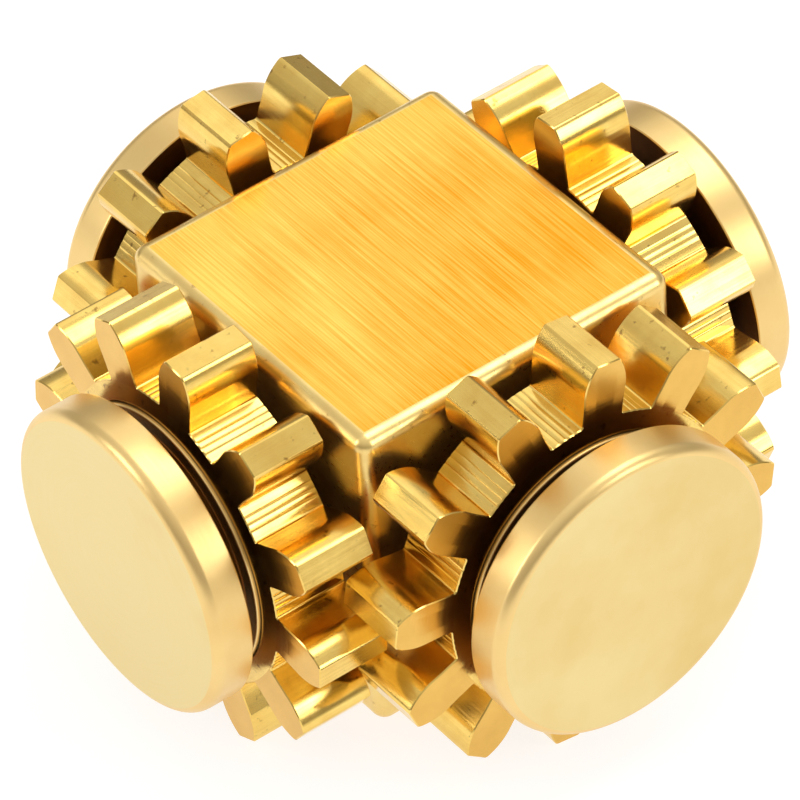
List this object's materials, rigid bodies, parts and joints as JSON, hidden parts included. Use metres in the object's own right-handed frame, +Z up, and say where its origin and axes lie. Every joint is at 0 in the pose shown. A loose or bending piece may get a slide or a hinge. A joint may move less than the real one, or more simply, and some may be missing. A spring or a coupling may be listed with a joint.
{
  "type": "fidget cube",
  "caption": "Brass cube with a spinning gear and round finger cap on each side; the gears mesh at the cube's corners and turn together.",
  "frame": {"origin": "centre of the block, where the four gear axes meet", "axes": "+Z up through the plain top face; +X along the east gear's axis and +Y along the north gear's axis"},
  "size_m": [0.038, 0.038, 0.0248],
  "materials": {
    "block_brass": "brushed, fine lines along X on the top and bottom",
    "gear_brass": "polished",
    "cap_brass": "satin face, polished rim",
    "spacer_brass": "turned",
    "race_steel": "ground and polished",
    "cage_steel": "pressed",
    "stud_steel": "plain"
  },
  "bodies": {
    "frame": {"centre_block": "block_brass", "stud_east": "stud_steel", "spacer_east": "spacer_brass", "inner_race_east": "race_steel", "finger_cap_east": "cap_brass", "stud_north": "stud_steel", "spacer_north": "spacer_brass", "inner_race_north": "race_steel", "finger_cap_north": "cap_brass", "stud_west": "stud_steel", "spacer_west": "spacer_brass", "inner_race_west": "race_steel", "finger_cap_west": "cap_brass", "stud_south": "stud_steel", "spacer_south": "spacer_brass", "inner_race_south": "race_steel", "finger_cap_south": "cap_brass"},
    "east_gear": {"gear_east": "gear_brass", "retaining_ring_east": "gear_brass", "outer_race_east": "race_steel"},
    "north_gear": {"gear_north": "gear_brass", "retaining_ring_north": "gear_brass", "outer_race_north": "race_steel"},
    "west_gear": {"gear_west": "gear_brass", "retaining_ring_west": "gear_brass", "outer_race_west": "race_steel"},
    "south_gear": {"gear_south": "gear_brass", "retaining_ring_south": "gear_brass", "outer_race_south": "race_steel"},
    "east_balls": {"ball_cage_east": "cage_steel"},
    "north_balls": {"ball_cage_north": "cage_steel"},
    "west_balls": {"ball_cage_west": "cage_steel"},
    "south_balls": {"ball_cage_south": "cage_steel"}
  },
  "joints": [
    {"name": "east_spin", "type": "hinge", "parent": "frame", "child": "east_gear", "pos_m": [0.01298, 0, 0], "axis": [1, 0, 0], "continuous": true},
    {"name": "north_spin", "type": "hinge", "parent": "frame", "child": "north_gear", "pos_m": [0, 0.01298, 0], "axis": [0, 1, 0], "continuous": true},
    {"name": "west_spin", "type": "hinge", "parent": "frame", "child": "west_gear", "pos_m": [-0.01298, 0, 0], "axis": [1, 0, 0], "continuous": true},
    {"name": "south_spin", "type": "hinge", "parent": "frame", "child": "south_gear", "pos_m": [0, -0.01298, 0], "axis": [0, 1, 0], "continuous": true},
    {"name": "east_balls_roll", "type": "hinge", "parent": "frame", "child": "east_balls", "pos_m": [0.01298, 0, 0], "axis": [1, 0, 0], "continuous": true},
    {"name": "north_balls_roll", "type": "hinge", "parent": "frame", "child": "north_balls", "pos_m": [0, 0.01298, 0], "axis": [0, 1, 0], "continuous": true},
    {"name": "west_balls_roll", "type": "hinge", "parent": "frame", "child": "west_balls", "pos_m": [-0.01298, 0, 0], "axis": [1, 0, 0], "continuous": true},
    {"name": "south_balls_roll", "type": "hinge", "parent": "frame", "child": "south_balls", "pos_m": [0, -0.01298, 0], "axis": [0, 1, 0], "continuous": true}
  ],
  "couplings": [
    {"joint": "north_spin", "follows": "east_spin", "ratio": -1},
    {"joint": "west_spin", "follows": "east_spin", "ratio": -1},
    {"joint": "south_spin", "follows": "east_spin", "ratio": 1},
    {"joint": "east_balls_roll", "follows": "east_spin", "ratio": 0.58333},
    {"joint": "north_balls_roll", "follows": "east_spin", "ratio": -0.58333},
    {"joint": "west_balls_roll", "follows": "east_spin", "ratio": -0.58333},
    {"joint": "south_balls_roll", "follows": "east_spin", "ratio": 0.58333}
  ]
}
